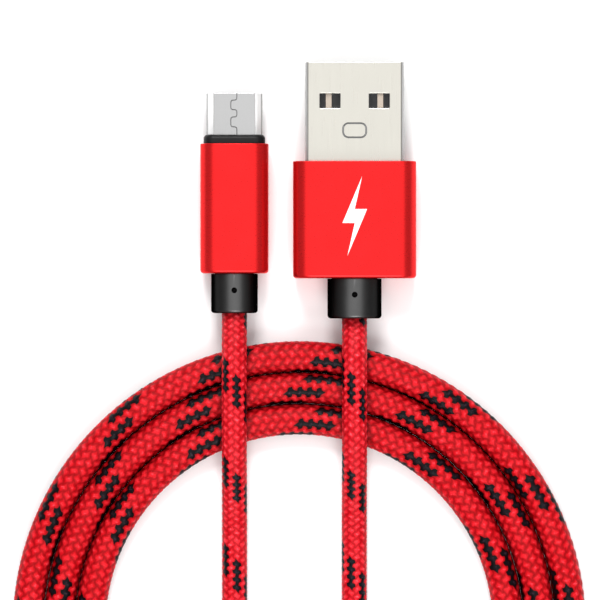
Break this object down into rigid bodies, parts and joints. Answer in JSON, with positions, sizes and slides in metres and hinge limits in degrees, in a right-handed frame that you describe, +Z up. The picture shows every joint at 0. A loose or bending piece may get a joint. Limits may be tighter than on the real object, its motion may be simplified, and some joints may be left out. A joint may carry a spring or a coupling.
{
  "type": "charging cable",
  "caption": "Braided charging cable with a USB-A plug and a micro-B plug in metal housings, lying coiled with both plugs side by side.",
  "frame": {"origin": "on the table under the middle of the two plugs' common outline", "axes": "+Y along both plugs towards their tips, +X from the micro-B plug to the USB-A plug, +Z up from the table"},
  "size_m": [0.0702, 0.1041, 0.0077],
  "materials": {
    "shell_steel": "satin nickel plate",
    "red_anodised": "satin red anodised",
    "black_rubber": "matte",
    "black_plastic": "matte",
    "grey_plastic": "satin",
    "white_ink": "printed",
    "gold_contact": "plated",
    "wire_red": "satin",
    "wire_white": "satin",
    "wire_green": "satin",
    "wire_black": "satin",
    "braided_cord": "braided yarn, red with black tracer dashes"
  },
  "bodies": {
    "coiled_cord": {"cord_coil": "braided_cord", "usb_a_lead": "braided_cord", "micro_b_lead": "braided_cord"},
    "usb_a_plug": {"usb_a_shell": "shell_steel", "usb_a_ferrule": "shell_steel", "usb_a_housing": "red_anodised", "usb_a_strain_relief": "black_rubber", "usb_a_inner_mould": "black_plastic", "usb_a_tongue": "grey_plastic", "usb_a_printed_mark": "white_ink", "usb_a_contact_supply": "gold_contact", "usb_a_contact_data_minus": "gold_contact", "usb_a_contact_data_plus": "gold_contact", "usb_a_contact_ground": "gold_contact", "usb_a_wire_red": "wire_red", "usb_a_wire_white": "wire_white", "usb_a_wire_green": "wire_green", "usb_a_wire_black": "wire_black", "usb_a_flex_lead": "braided_cord"},
    "micro_b_plug": {"micro_b_shell": "shell_steel", "micro_b_ferrule": "shell_steel", "micro_b_housing": "red_anodised", "micro_b_strain_relief": "black_rubber", "micro_b_inner_mould": "black_plastic", "micro_b_front_ring": "black_plastic", "micro_b_insulator": "black_plastic", "micro_b_wire_red": "wire_red", "micro_b_wire_white": "wire_white", "micro_b_wire_green": "wire_green", "micro_b_wire_black": "wire_black", "micro_b_flex_lead": "braided_cord"},
    "latch_left": {"micro_b_latch_left": "shell_steel"},
    "latch_right": {"micro_b_latch_right": "shell_steel"},
    "contact_supply": {"micro_b_contact_supply": "gold_contact"},
    "contact_data_minus": {"micro_b_contact_data_minus": "gold_contact"},
    "contact_data_plus": {"micro_b_contact_data_plus": "gold_contact"},
    "contact_id": {"micro_b_contact_id": "gold_contact"},
    "contact_ground": {"micro_b_contact_ground": "gold_contact"}
  },
  "joints": [
    {"name": "usb_a_lift", "type": "hinge", "parent": "coiled_cord", "child": "usb_a_plug", "pos_m": [0.00565, -0.025, 0.00542], "axis": [1, 0, 0], "range_deg": [0, 60]},
    {"name": "micro_b_lift", "type": "hinge", "parent": "coiled_cord", "child": "micro_b_plug", "pos_m": [-0.009, -0.025, 0.00542], "axis": [1, 0, 0], "range_deg": [0, 60]},
    {"name": "latch_left_press", "type": "hinge", "parent": "micro_b_plug", "child": "latch_left", "pos_m": [-0.0117, -0.0009, 0.0029], "axis": [1, 0, 0], "range_deg": [0, 2], "stiffness_Nm_per_rad": 0.3},
    {"name": "latch_right_press", "type": "hinge", "parent": "micro_b_plug", "child": "latch_right", "pos_m": [-0.0063, -0.0009, 0.0029], "axis": [1, 0, 0], "range_deg": [0, 2], "stiffness_Nm_per_rad": 0.3},
    {"name": "contact_supply_press", "type": "hinge", "parent": "micro_b_plug", "child": "contact_supply", "pos_m": [-0.0103, -0.0015, 0.00335], "axis": [1, 0, 0], "range_deg": [0, 1.1], "stiffness_Nm_per_rad": 0.2},
    {"name": "contact_data_minus_press", "type": "hinge", "parent": "micro_b_plug", "child": "contact_data_minus", "pos_m": [-0.00965, -0.0015, 0.00335], "axis": [1, 0, 0], "range_deg": [0, 1.1], "stiffness_Nm_per_rad": 0.2},
    {"name": "contact_data_plus_press", "type": "hinge", "parent": "micro_b_plug", "child": "contact_data_plus", "pos_m": [-0.009, -0.0015, 0.00335], "axis": [1, 0, 0], "range_deg": [0, 1.1], "stiffness_Nm_per_rad": 0.2},
    {"name": "contact_id_press", "type": "hinge", "parent": "micro_b_plug", "child": "contact_id", "pos_m": [-0.00835, -0.0015, 0.00335], "axis": [1, 0, 0], "range_deg": [0, 1.1], "stiffness_Nm_per_rad": 0.2},
    {"name": "contact_ground_press", "type": "hinge", "parent": "micro_b_plug", "child": "contact_ground", "pos_m": [-0.0077, -0.0015, 0.00335], "axis": [1, 0, 0], "range_deg": [0, 1.1], "stiffness_Nm_per_rad": 0.2}
  ]
}
